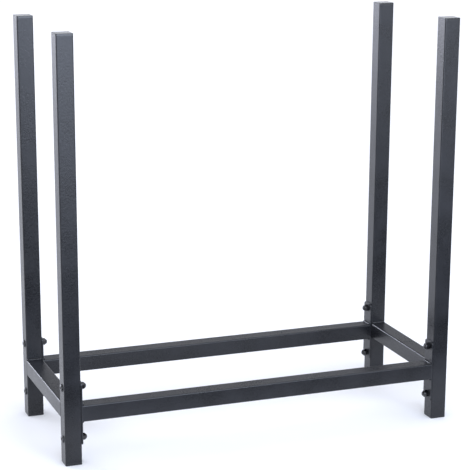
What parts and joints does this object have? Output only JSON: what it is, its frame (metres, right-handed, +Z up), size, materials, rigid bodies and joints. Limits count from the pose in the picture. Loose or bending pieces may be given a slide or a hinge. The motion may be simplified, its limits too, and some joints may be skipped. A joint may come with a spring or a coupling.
{
  "type": "firewood log rack",
  "caption": "Open floor rack for firewood: square-tube corner posts joined near the floor by welded end rails and bolted front and rear rails.",
  "frame": {"origin": "on the floor plane, at the centre of the rack's footprint", "axes": "+Z up along the posts; +X to the right along the front rail; +Y from the front to the back, so the front faces -Y"},
  "size_m": [0.6194, 0.25, 0.625],
  "materials": {
    "powder_coated_steel": "black powder coat, satin, fine texture",
    "blackened_fasteners": "black plated steel, semi-gloss",
    "plastic_inserts": "moulded black polyethylene, satin"
  },
  "bodies": {
    "root": {"cap_nut_front_left_lower": "blackened_fasteners", "cap_nut_front_left_upper": "blackened_fasteners", "cap_nut_front_right_lower": "blackened_fasteners", "cap_nut_front_right_upper": "blackened_fasteners", "cap_nut_rear_left_lower": "blackened_fasteners", "cap_nut_rear_left_upper": "blackened_fasteners", "cap_nut_rear_right_lower": "blackened_fasteners", "cap_nut_rear_right_upper": "blackened_fasteners", "end_plate_front_left": "powder_coated_steel", "end_plate_front_right": "powder_coated_steel", "end_plate_rear_left": "powder_coated_steel", "end_plate_rear_right": "powder_coated_steel", "end_rail_left": "powder_coated_steel", "end_rail_right": "powder_coated_steel", "foot_plug_front_left": "plastic_inserts", "foot_plug_front_right": "plastic_inserts", "foot_plug_rear_left": "plastic_inserts", "foot_plug_rear_right": "plastic_inserts", "front_rail": "powder_coated_steel", "rear_rail": "powder_coated_steel", "screw_front_left_lower": "blackened_fasteners", "screw_front_left_upper": "blackened_fasteners", "screw_front_right_lower": "blackened_fasteners", "screw_front_right_upper": "blackened_fasteners", "screw_rear_left_lower": "blackened_fasteners", "screw_rear_left_upper": "blackened_fasteners", "screw_rear_right_lower": "blackened_fasteners", "screw_rear_right_upper": "blackened_fasteners", "top_cap_front_left": "plastic_inserts", "top_cap_front_right": "plastic_inserts", "top_cap_rear_left": "plastic_inserts", "top_cap_rear_right": "plastic_inserts", "upright_front_left": "powder_coated_steel", "upright_front_right": "powder_coated_steel", "upright_rear_left": "powder_coated_steel", "upright_rear_right": "powder_coated_steel"}
  },
  "joints": []
}
